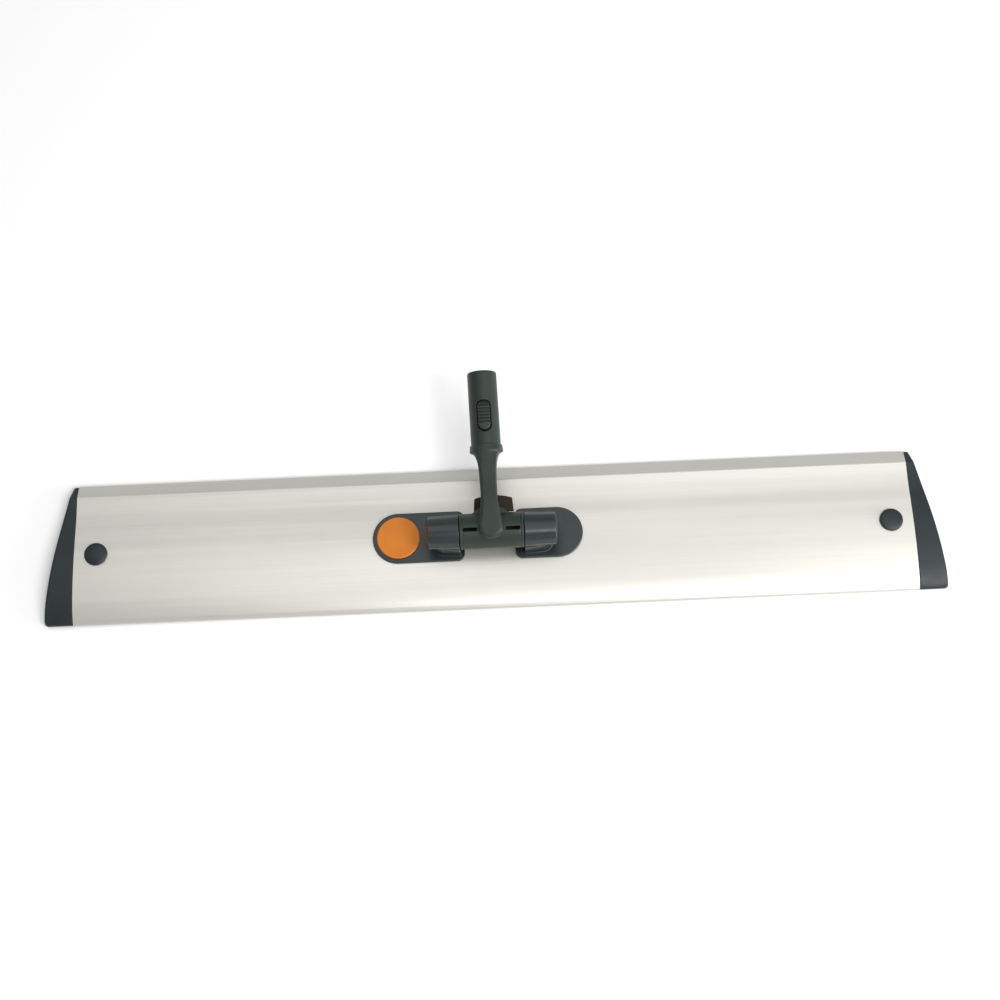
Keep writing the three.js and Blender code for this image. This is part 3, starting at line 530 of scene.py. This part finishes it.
def make_plate():
    """The extrusion, with its chambers open at both ends, less the screws' access holes."""
    bm = bmesh.new()
    ends = ([], [])
    for ring in [plate_outline()] + [chamber_outline(*c) for c in CHAMBERS]:
        loops = []
        for k, x in enumerate((-PLATE_HALF_LENGTH, PLATE_HALF_LENGTH)):
            loop = [bm.verts.new((x, y, z)) for y, z in ring]
            loops.append(loop)
            for a, b in zip(loop, loop[1:] + loop[:1]):
                ends[k].append(bm.edges.new((a, b)))
        for k in range(len(ring)):
            n = (k + 1) % len(ring)
            bm.faces.new((loops[0][k], loops[0][n], loops[1][n], loops[1][k]))
    for edges in ends:
        bmesh.ops.triangle_fill(bm, edges=edges, use_beauty=True)
    bmesh.ops.recalc_face_normals(bm, faces=bm.faces)
    mesh = bpy.data.meshes.new("plate")
    bm.to_mesh(mesh)
    bm.free()
    piece = finish_mesh("plate", mesh, base_frame, "frame", aluminium,
                        ["plate_extrusion"])
    bm = bmesh.new()
    for x, y in SCREW_SPOTS:
        for radius, low, high in ((ACCESS_HOLE_RADIUS, -2, FLOOR + 1),
                                  (SCREW_HOLE_RADIUS, FLOOR + 1, 12)):
            spot = Matrix.Translation((x, y, (low + high) / 2))
            bmesh.ops.create_cone(bm, cap_ends=True, segments=48, radius1=radius,
                                  radius2=radius, depth=high - low + 0.01, matrix=spot)
    cutter_mesh = bpy.data.meshes.new("cutter")
    bm.to_mesh(cutter_mesh)
    bm.free()
    cutter_mesh.transform(Matrix.Scale(MM, 4))
    cutter = bpy.data.objects.new("cutter", cutter_mesh)
    bpy.context.scene.collection.objects.link(cutter)
    cut = piece.modifiers.new("access_holes", "BOOLEAN")
    cut.object = cutter
    cut.operation = "DIFFERENCE"
    cut.solver = "EXACT"
    cut.use_self = True
    bpy.context.view_layer.update()
    evaluated = piece.evaluated_get(bpy.context.evaluated_depsgraph_get())
    result = bpy.data.meshes.new_from_object(evaluated)
    piece.modifiers.clear()
    piece.data = result
    bpy.data.objects.remove(cutter)
    smooth_by_angle(piece.data, 24)


def cap_field(side):
    """An end cap: its outer edge runs in towards the rear along a gentle curve."""
    slope, bend, start = 0.0855, 0.000912, 45.0

    def field(x, y, z):
        across = x * side
        run = y + start
        outer = CAP_HALF_LENGTH - slope * run - bend * run ** 2
        edge = (across - outer) / np.sqrt(1 + (slope + 2 * bend * run) ** 2)
        rise = z - top_height(np.clip(y, CROWN_FRONT, PLATE_HALF_DEPTH))
        body = both(rise, edge, 1.8)
        body = both(body, slab(y, -PLATE_HALF_DEPTH, PLATE_HALF_DEPTH), 0.7)
        corner = rounded_plan(across - 200, y, 100, PLATE_HALF_DEPTH, 3.5)
        body = both(body, corner, 1.2)
        body = both(body, -z, 0.4)
        return both(body, PLATE_HALF_LENGTH + GAP - across, 0.25)

    return field


PLUG_RADIUS = 7.7
PLUG_RISE = 2.3                   # from the plug's seat to the top of its dome
PLUG_RIM = 0.6
PLUG_STEM_RADIUS = 3.6
PLUG_TIP = 2.1


def make_caps():
    for name, side in (("left", -1), ("right", 1)):
        ends = sorted((side * PLATE_HALF_LENGTH, side * CAP_HALF_LENGTH))
        skin(f"end_cap_{name}_shell", cap_field(side), (ends[0], -PLATE_HALF_DEPTH, 0),
             (ends[1], PLATE_HALF_DEPTH, 9), 0.5, base_frame, "frame",
             dark_plastic, [f"end_cap_{name}"])
        low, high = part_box(f"cap_plug_{name}")
        centre = Matrix.Translation(((low.x + high.x) / 2 / MM, (low.y + high.y) / 2 / MM, 0))
        top = high.z / MM
        seat = top - PLUG_RISE
        profile = [(0, top)]
        for t in np.linspace(0.08, 1, 14):
            angle = t * math.pi / 2
            rise = (PLUG_RISE - PLUG_RIM) * math.cos(angle)
            profile.append((PLUG_RADIUS * math.sin(angle), seat + PLUG_RIM + rise))
        profile += [(PLUG_RADIUS, seat + 0.35), (PLUG_RADIUS - 0.3, seat)]
        profile += [(PLUG_STEM_RADIUS, seat), (PLUG_STEM_RADIUS, PLUG_TIP + 0.5)]
        profile += [(PLUG_STEM_RADIUS - 0.8, PLUG_TIP), (0, PLUG_TIP)]
        turned(f"cap_plug_{name}_head", profile, centre, "frame",
               dark_plastic, [f"cap_plug_{name}"])


make_plate()
make_caps()


# ---------- brackets ----------
def flange_plan(x, y, centre_x, inner_x):
    """Round at the outer end, square with small corners at the inner end."""
    outward = 1 if centre_x > inner_x else -1
    round_end = np.hypot(x - centre_x, y) - FLANGE_RADIUS
    half = abs(centre_x - inner_x) / 2
    middle = (centre_x + inner_x) / 2
    straight = rounded_plan(x - middle, y, half, FLANGE_RADIUS, FLANGE_CORNER)
    stretch = rounded_plan(x - middle - outward * 5, y, half - 5 + 0.01, FLANGE_RADIUS, 0.01)
    return np.minimum(np.minimum(round_end, straight), stretch)


def bracket_field(side, centre_x, inner_x):
    """Flange, foot and tapered barrel in one moulding, with a bore for the bush and trunnion."""
    span = BARREL_OUTER_X - BARREL_INNER_X
    taper = (BARREL_INNER_RADIUS - BARREL_OUTER_RADIUS) / span
    foot_taper = (FOOT_INNER_HALF_DEPTH - FOOT_OUTER_HALF_DEPTH) / span
    foot_middle = (BARREL_INNER_X + FOOT_OUTER_X) / 2
    foot_half = (FOOT_OUTER_X - BARREL_INNER_X) / 2
    square_end = 4                # the foot keeps square corners at its inner end

    def field(x, y, z):
        across = x * side
        up = z - PIVOT.z
        back = y - PIVOT.y
        run = across - BARREL_INNER_X
        around = np.hypot(back, up)
        barrel = both(around - BARREL_INNER_RADIUS + taper * run, BARREL_INNER_X - across, 0.5)
        dome = BARREL_DOME * (1 - (around / BARREL_OUTER_RADIUS) ** 2)
        end_face = (across - BARREL_OUTER_X - dome) / np.sqrt(1 + (around / 24) ** 2)
        barrel = both(barrel, end_face, 0.3)
        widened = back * FOOT_INNER_HALF_DEPTH / (FOOT_INNER_HALF_DEPTH - foot_taper * run)
        plan = rounded_plan(across - foot_middle, widened, foot_half, FOOT_INNER_HALF_DEPTH,
                            FOOT_CORNER)
        square = rounded_plan(across - foot_middle + square_end, widened,
                              foot_half - square_end, FOOT_INNER_HALF_DEPTH, 0.4)
        foot = both(np.minimum(plan, square), slab(z, 5, PIVOT.z - 3), 0.3)
        flange = both(flange_plan(x, y, centre_x, inner_x), z - FLANGE_TOP, 0.6)
        body = either(either(flange, foot, 0.7), barrel, 0.3)
        under = top_height(np.clip(y, CROWN_FRONT, 34)) + GAP - z
        body = both(body, under, 0.2)
        bore = rod(back, up, across, BUSH_RADIUS + GAP, BARREL_INNER_X - 5, TRUNNION_END_X, 0.2)
        body = without(body, bore, 0.3)
        if side < 0:
            well = np.hypot(x - centre_x, y) - DISC_STEM_RADIUS - GAP
            body = without(body, well, 0.2)
        return body

    return field


def make_brackets():
    for name, side, flange in (("left", -1, LEFT_FLANGE), ("right", 1, RIGHT_FLANGE)):
        low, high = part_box(f"bracket_{name}")
        skin(f"bracket_{name}_body", bracket_field(side, *flange), low / MM, high / MM, 0.45,
             base_frame, "frame", bracket_plastic, [f"bracket_{name}"])
        nodes[f"bearing_bush_{name}"].data.materials.clear()
        nodes[f"bearing_bush_{name}"].data.materials.append(bearing_plastic)
    base = FLANGE_TOP + GAP
    top = base + DISC_THICKNESS
    # The disc's face is sunk a little inside a raised rim.
    profile = [(0, top - 0.15), (DISC_RADIUS - 1.9, top - 0.15), (DISC_RADIUS - 1.6, top - 0.04)]
    profile += [(DISC_RADIUS - 1.2, top)]
    profile += arc(DISC_RADIUS - 0.7, top - 0.7, 0.7, 90, 0, 6)
    profile += arc(DISC_RADIUS - 0.3, base + 0.3, 0.3, 0, -90, 3)
    stem_end = FLANGE_TOP - DISC_STEM_LENGTH
    profile += [(DISC_STEM_RADIUS, base), (DISC_STEM_RADIUS, stem_end + 0.3),
                (DISC_STEM_RADIUS - 0.3, stem_end), (0, stem_end)]
    turned("colour_disc_face", profile, Matrix.Translation((LEFT_FLANGE[0], 0, 0)), "frame",
           orange_plastic, ["colour_disc"], sides=128)
    for place in ("left_front", "left_rear", "right_front", "right_rear"):
        screw = nodes[f"bracket_screw_{place}"]
        screw.data.materials.clear()
        screw.data.materials.append(bright_steel)


make_brackets()


# ---------- cross tube, tongue, pin ----------
TONGUE_HALF_WIDTH = 4.0
TONGUE_EYE_RADIUS = 6.2
TONGUE_HALF_THICKNESS = 1.4
TONGUE_TIP = 23.3
LIP_OFFSET = 2.1                  # the lip of the tongue sits to the right of its stem


def cross_tube_field(side):
    """One half of the cross tube: trunnions, hub, windows and the slot for the tongue."""
    def field(x, y, z):
        around = np.hypot(y, z)
        groove = 0.25 * np.exp(-(((np.abs(x) - TUBE_HALF_LENGTH + 1.9) / 0.28) ** 2))
        tube = both(around - TUBE_RADIUS + groove, np.abs(x) - TUBE_HALF_LENGTH, 0.5)
        trunnion = both(around - TRUNNION_RADIUS, np.abs(x) - TRUNNION_END_X, 0.5)
        body = np.minimum(tube, trunnion)
        aside = x - PIN_X
        off_pin = np.hypot(aside, y)
        hub = both(off_pin - HUB_RADIUS, np.abs(z) - HUB_HALF_THICKNESS, 0.6)
        hub = both(hub, -y)
        body = either(body, hub, 0.8)
        seat = both(off_pin - WASHER_RADIUS - GAP, slab(np.abs(z), WASHER_INNER - GAP, 20), 0.1)
        body = without(body, seat, 0.2)
        body = without(body, off_pin - PIN_HOLE_RADIUS)
        tongue_room = np.abs(z) - TONGUE_HALF_THICKNESS - GAP
        body = without(body, both(off_pin - TONGUE_EYE_RADIUS - GAP, tongue_room))
        slot = both(np.abs(aside) - TONGUE_HALF_WIDTH - GAP, tongue_room)
        body = without(body, both(slot, -y), 0.15)
        window = rounded_plan(np.abs(x) - WINDOW_CENTRE, y, WINDOW_HALF_LENGTH,
                              WINDOW_HALF_HEIGHT, 0.2)
        window = both(window, WINDOW_FLOOR - np.abs(z))
        body = without(body, window, 0.1)
        return both(body, PARTING_GAP - y * side, 0.05)

    return field


def make_cross():
    for name, side, far in (("front", -1, 12), ("rear", 1, 17)):
        ends = sorted((0, side * far))
        skin(f"cross_tube_{name}_half", cross_tube_field(side), (-41, ends[0], -12),
             (41, ends[1], 12), 0.34, cross_frame, "cross", grey_plastic,
             [f"cross_tube_{name}"])
    for name, side in (("upper", 1), ("lower", -1)):
        low, high = sorted((side * WASHER_INNER, side * WASHER_OUTER))
        ring = [(PIN_HOLE_RADIUS, low), (WASHER_RADIUS, low), (WASHER_RADIUS, high),
                (PIN_HOLE_RADIUS, high)]
        turned(f"swivel_washer_{name}_ring", ring, pin_frame, "cross",
               bearing_plastic, [f"swivel_washer_{name}"])
    head_low, head_high, tip = -15.2, -13.6, 13.6
    pin = [(0, head_low), (4.3, head_low), *arc(4.3, head_low + 0.5, 0.5, -90, 0, 4)[1:],
           (4.8, head_high), (PIN_RADIUS, head_high), (PIN_RADIUS, tip - 0.6),
           (PIN_RADIUS - 0.6, tip), (0, tip)]
    turned("swivel_pin_shaft", pin, handle_frame, "handle", bright_steel,
           ["swivel_pin"])


def tongue_field(x, y, z):
    """The tongue, coloured darker and warmer than the other plastics: an eye round the pin, a stem,
    and a wide lip curved at its tip.
    """
    aside = x - LIP_OFFSET
    off_pin = np.hypot(x, y)
    flare = 12.55 + 0.075 * (20.5 - y)
    tip = y - (TONGUE_TIP - aside * aside / 80)
    lip = both(both(np.abs(aside) - flare, tip, 0.8), 12.3 - y, 0.4)
    lip = without(lip, off_pin - HUB_RADIUS - GAP, 0.3)
    stem = both(np.abs(x) - TONGUE_HALF_WIDTH, slab(y, 2, 17))
    plan = np.minimum(np.minimum(lip, stem), off_pin - TONGUE_EYE_RADIUS)
    plan = without(plan, off_pin - PIN_HOLE_RADIUS)
    return both(plan, np.abs(z) - TONGUE_HALF_THICKNESS, 0.45)


make_cross()
skin("stop_tongue_plate", tongue_field, (-12, -7, -2), (16, 24, 2), 0.4, pin_frame, "cross",
     brown_plastic, ["stop_tongue"])


# ---------- handle ----------
neck_half_width = curve_through(
    [-8, 0, 3, 6.5, 12.5, 18, 24.5, 31, 37.7, 43, 47, 50, 52.5],
    [BULB_HALF_WIDTH, BULB_HALF_WIDTH, 7.9, 7.3, 6.3, 5.65, 5.4, 5.5, 5.7, 6.1, 6.7, 7.7, 8.9],
)
neck_height = curve_through(
    [-8, 14, 20, 28, 36, 42, 47, 51, 56],
    [PRONG_OUTER, PRONG_OUTER, 15.2, 13.6, 12.1, 11.4, 11.1, 11.0, 11.0],
)
neck_envelope = curve_through(
    [18, 20, 34, 42, 48, 52, 56],
    [20, 19.6, 15.0, 12.7, 11.4, 11.0, 11.0],
)


def stub_radius(y):
    share = np.clip((y - COLLAR_END) / (STUB_END - COLLAR_END), 0, 1)
    return STUB_RADIUS_LOW + (STUB_RADIUS_HIGH - STUB_RADIUS_LOW) * share


def slot_corner(y, width):
    """The slot's far end has tighter corners than its near end."""
    far = np.clip((y - BUTTON_STATION) / 4 + 0.5, 0, 1)
    return (width / 2 - 0.1) * (1 - far) + 0.8 * (width / 2) * far


def handle_field(x, y, z):
    """Fork, neck, collar and stub in one moulding, with the bore, button slot and pin holes."""
    bulb = (np.hypot(x / BULB_HALF_WIDTH, y / BULB_HALF_LENGTH) - 1) * BULB_HALF_LENGTH
    strip = both(np.abs(x) - neck_half_width(y), slab(y, 0, COLLAR_START + 2))
    plan = np.minimum(bulb, strip)
    fork = both(plan, np.abs(z) - neck_height(y), 2.6)
    crotch = both(np.abs(z) - PRONG_INNER, y - CROTCH, CROTCH_CORNER)
    fork = without(fork, crotch, 0.5)
    around = np.hypot(x, z)
    fork = both(fork, around - neck_envelope(y), 1.2)
    rim = COLLAR_RADIUS - 0.07 * (y - COLLAR_START)
    collar = both(around - rim, slab(y, COLLAR_START, COLLAR_END), 0.3)
    body = either(fork, collar, 1.6)
    stub = both(around - stub_radius(y), slab(y, COLLAR_END - 1, STUB_END), 1.3)
    body = either(body, stub, 0.4)
    bore = both(around - STUB_BORE, STUB_BORE_START - y, 1.0)
    body = without(body, bore, 0.5)
    slot = rounded_plan(x, y - BUTTON_STATION, SLOT_WIDTH / 2, SLOT_LENGTH / 2,
                        slot_corner(y, SLOT_WIDTH))
    body = without(body, both(slot, -z), 0.5)
    off_pin = np.hypot(x, y)
    body = without(body, both(off_pin - PIN_HOLE_RADIUS, z - 13.9))
    return without(body, both(off_pin - 5.1, z + 13.3), 0.3)


def button_field(x, y, z):
    """The lock button: a grooved face that slopes at its far end, a foot and a spring pocket."""
    along = y - BUTTON_STATION
    crown_radius = STUB_RADIUS_LOW + BUTTON_PROUD
    plan = rounded_plan(x, along, BUTTON_WIDTH / 2, BUTTON_LENGTH / 2, slot_corner(y, BUTTON_WIDTH))
    around = np.hypot(x * BUTTON_CROWN, z)
    ramp = RAMP_SLOPE * np.maximum(along - RAMP_START, 0)
    stem = both(both(plan, around - crown_radius + ramp, 0.8), BUTTON_BASE - z)
    nearest = np.clip(np.round((along - GROOVE_SHIFT) / GROOVE_PITCH), -2, 3) * GROOVE_PITCH
    floor = crown_radius - GROOVE_DEPTH - around
    flank = np.abs(along - nearest - GROOVE_SHIFT) - GROOVE_HALF_FLOOR + GROOVE_DRAFT * floor
    groove = both(flank, np.abs(x) - BUTTON_WIDTH / 2 + GROOVE_END_WALL)
    groove = both(groove, floor, 0.1)
    stem = without(stem, groove, 0.15)
    foot = both(np.abs(x) - BUTTON_FOOT_HALF_WIDTH, slab(along, *BUTTON_FOOT_SPAN))
    foot = both(foot, np.hypot(x, z) - STUB_BORE + GAP)
    foot = both(foot, slab(z, BUTTON_BASE, BUTTON_FOOT_TOP), 0.2)
    body = np.minimum(stem, foot)
    pocket = np.hypot(x, along) - SPRING_POCKET_RADIUS
    pocket = both(pocket, z - BUTTON_BASE - SPRING_POCKET_DEPTH)
    return without(body, pocket, 0.15)


def make_spring():
    """The coil spring under the button."""
    wire, coil, turns = 0.4, 2.6, 5
    low = -math.sqrt(STUB_BORE ** 2 - 9) + GAP + wire + 0.4
    high = BUTTON_BASE + SPRING_POCKET_DEPTH - GAP - wire
    bm = bmesh.new()
    steps, sides = turns * 32, 10
    rings = []
    for i in range(steps + 1):
        t = i / steps
        angle = t * turns * 2 * math.pi
        radial = Vector((math.cos(angle), math.sin(angle), 0))
        centre = radial * coil + Vector((0, BUTTON_STATION, low + t * (high - low)))
        ring = []
        for k in range(sides):
            a = 2 * math.pi * k / sides
            spoke = radial * math.cos(a) + Vector((0, 0, math.sin(a)))
            ring.append(bm.verts.new(centre + spoke * wire))
        rings.append(ring)
    for a, b in zip(rings, rings[1:]):
        for k in range(sides):
            n = (k + 1) % sides
            bm.faces.new((a[k], a[n], b[n], b[k]))
    bm.faces.new(rings[0][::-1])
    bm.faces.new(rings[-1])
    bmesh.ops.recalc_face_normals(bm, faces=bm.faces)
    mesh = bpy.data.meshes.new("button_spring_coil")
    bm.to_mesh(mesh)
    bm.free()
    smooth_by_angle(mesh, 50)
    piece = finish_mesh("button_spring_coil", mesh, handle_frame, "handle",
                        bright_steel, ["button_spring"])
    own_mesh(piece)


skin("handle_stub_body", handle_field, (-12, -9, -16), (12, STUB_END, 16), 0.36, handle_frame,
     "handle", grey_plastic, ["handle_stub"])
skin("lock_button_face", button_field, (-6, 62, 3), (6, 87, 11.5), 0.14, handle_frame, "button",
     grey_plastic, ["lock_button"])
make_spring()


# ---------- hook strips ----------
def make_hook_strips():
    """Each strip is a woven tape with rows of small bent hooks pointing down."""
    pitch_x, pitch_y = ((2.2, 1.9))
    tape_low, tape_high = -0.5, STRIP_RECESS - GAP
    stations = [(0.0, -0.5), (0.0, -1.1), (0.16, -1.46), (0.5, -1.63), (0.8, -1.42), (0.86, -1.2)]
    half_wire = 0.14
    for name, side in (("front", -1), ("rear", 1)):
        bm = bmesh.new()
        tape = bmesh.ops.create_cube(bm, size=1)["verts"]
        for v in tape:
            v.co.x *= 2 * STRIP_HALF_LENGTH
            v.co.y = v.co.y * STRIP_WIDTH + side * STRIP_Y
            v.co.z = (tape_low + tape_high) / 2 + v.co.z * (tape_high - tape_low)
        bmesh.ops.bevel(bm, geom=list(bm.edges), offset=0.2, segments=2, affect="EDGES")
        rows = int((STRIP_WIDTH - 2.4) / pitch_y)
        columns = int((2 * STRIP_HALF_LENGTH - 3) / pitch_x)
        for row in range(rows + 1):
            for column in range(columns + 1):
                facing = 1 if row % 2 else -1
                x0 = -columns * pitch_x / 2 + column * pitch_x + (row % 2) * pitch_x * 0.5 - 0.5
                y0 = side * STRIP_Y - rows * pitch_y / 2 + row * pitch_y
                rings = []
                for run, z in stations:
                    x = x0 + facing * run
                    lean = half_wire if z < -1.3 else 0
                    lift = lean * 0.2
                    corners = ((-1, -1, -lean), (1, -1, lift), (1, 1, lift), (-1, 1, -lean))
                    rings.append([
                        bm.verts.new((x + u * half_wire, y0 + v * half_wire, z + up))
                        for u, v, up in corners
                    ])
                for a, b in zip(rings, rings[1:]):
                    for k in range(4):
                        n = (k + 1) % 4
                        bm.faces.new((a[k], a[n], b[n], b[k]))
                bm.faces.new(rings[-1])
                bm.faces.new(rings[0][::-1])
        bmesh.ops.recalc_face_normals(bm, faces=bm.faces)
        mesh = bpy.data.meshes.new(f"hook_strip_{name}_tape")
        bm.to_mesh(mesh)
        bm.free()
        finish_mesh(f"hook_strip_{name}_tape", mesh, base_frame, "frame",
                    hook_nylon, [f"hook_strip_{name}"])


make_hook_strips()


# ---------- floor, light and camera ----------
def make_stage():
    """A plain pale floor under the hook strips."""
    bm = bmesh.new()
    bmesh.ops.create_grid(bm, x_segments=1, y_segments=1, size=3000)
    mesh = bpy.data.meshes.new("floor")
    bm.to_mesh(mesh)
    bm.free()
    mesh.transform(Matrix.Translation((0, 0, cad_low.z)) @ Matrix.Scale(MM, 4))
    floor = bpy.data.objects.new("floor", mesh)
    bpy.context.scene.collection.objects.link(floor)
    material = bpy.data.materials.new("floor")
    material.use_nodes = True
    shader = material.node_tree.nodes["Principled BSDF"]
    shader.inputs["Base Color"].default_value = (0.96, 0.96, 0.96, 1)
    shader.inputs["Roughness"].default_value = 0.9
    mesh.materials.append(material)


def softbox(name, place, aim, size, power, tint=(1, 1, 1)):
    light = bpy.data.lights.new(name, "AREA")
    light.shape = "RECTANGLE"
    light.size, light.size_y = size
    light.energy = power
    light.color = tint
    holder = bpy.data.objects.new(name, light)
    bpy.context.scene.collection.objects.link(holder)
    holder.location = place
    holder.rotation_euler = (Vector(aim) - Vector(place)).to_track_quat("-Z", "Y").to_euler()


def make_light():
    softbox("key", (0.75, -0.5, 1.1), (0.05, 0, 0), (0.5, 0.5), 7.4)
    softbox("window", (0.2, -0.62, 1.1), (0.03, 0, 0), (0.3, 0.12), 2.8)
    softbox("side", (1.3, -0.35, 0.35), (0.05, 0, 0.02), (0.6, 0.4), 11)
    softbox("front", (0.3, -1.5, 0.6), (0, 0, 0), (2.4, 0.5), 2.4)
    softbox("rear", (0, 1.5, 0.7), (0, 0, 0), (2.4, 0.5), 1.5)
    softbox("overhead", (0.15, 0.3, 1.8), (0, 0, 0), (2.2, 1.2), 10)
    world = bpy.data.worlds.new("studio")
    world.use_nodes = True
    background = world.node_tree.nodes["Background"]
    background.inputs["Color"].default_value = (1, 1, 1, 1)
    background.inputs["Strength"].default_value = 0.47
    bpy.context.scene.world = world
    bpy.context.scene.view_settings.view_transform = "Standard"


def make_camera():
    data = bpy.data.cameras.new("camera")
    data.sensor_width = 36
    data.lens = 56.4
    camera = bpy.data.objects.new("camera", data)
    bpy.context.scene.collection.objects.link(camera)
    camera.location = Vector((16.3, -294.7, 1012.3)) * MM
    camera.rotation_euler = [math.radians(a) for a in (17.59, 1.29, -2.21)]
    bpy.context.scene.camera = camera


make_stage()
make_light()
make_camera()
